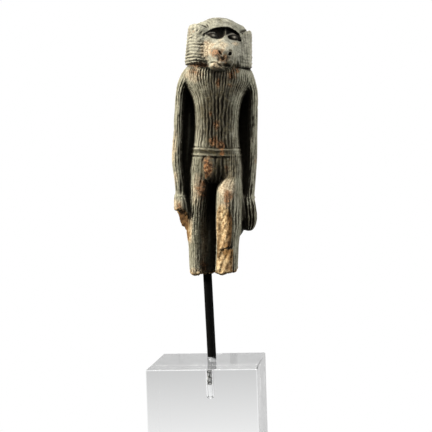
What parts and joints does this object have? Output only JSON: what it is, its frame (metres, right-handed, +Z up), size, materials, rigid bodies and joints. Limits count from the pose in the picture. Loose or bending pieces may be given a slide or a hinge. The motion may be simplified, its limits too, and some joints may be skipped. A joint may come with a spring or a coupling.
{
  "type": "faience amulet on a display mount",
  "caption": "Broken faience amulet of a standing baboon with carved fur and a belt, held up by a black rod in a clear acrylic cube.",
  "frame": {"origin": "centre of the acrylic cube's underside", "axes": "+Z up; the cube's front face and the figure's face look towards -Y; +X is to the right of someone who faces the front"},
  "size_m": [0.0389, 0.0382, 0.1603],
  "materials": {
    "faience": "satin",
    "black_rod": "satin",
    "clear_acrylic": "polished"
  },
  "bodies": {
    "root": {"amulet": "faience", "mount_rod": "black_rod", "acrylic_block": "clear_acrylic"}
  },
  "joints": []
}
